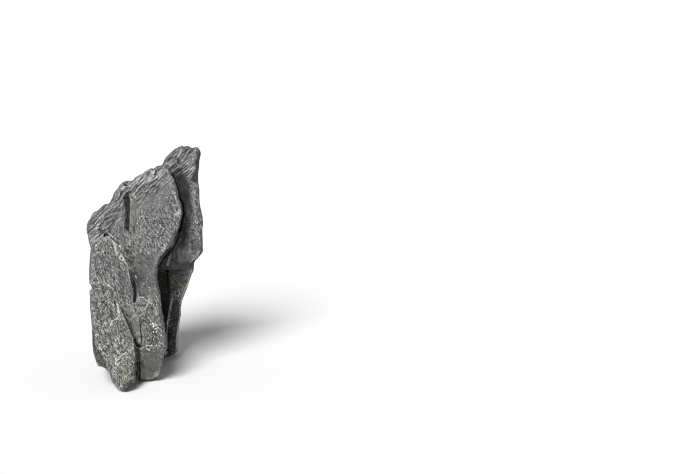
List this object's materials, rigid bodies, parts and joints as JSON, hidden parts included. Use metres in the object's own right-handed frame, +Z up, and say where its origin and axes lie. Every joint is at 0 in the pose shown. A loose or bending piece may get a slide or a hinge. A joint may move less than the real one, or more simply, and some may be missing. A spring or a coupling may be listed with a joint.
{
  "type": "seiryu stone",
  "caption": "Tall grey limestone aquascape stone: a broad grooved slab in front, a higher blade behind it, a deep cleft between them, and worn feet.",
  "frame": {"origin": "middle of the underside of the stone's bounding box, on the ground that it stands on", "axes": "+Z up along the stone's height, -Y out of the broad front slab, +X to the right seen from the front, where the cleft opens"},
  "size_m": [0.111, 0.1258, 0.2171],
  "materials": {
    "limestone": "matte, weathered, mottled grey with pale calcite veins and olive stains"
  },
  "bodies": {
    "root": {"stone": "limestone"}
  },
  "joints": []
}
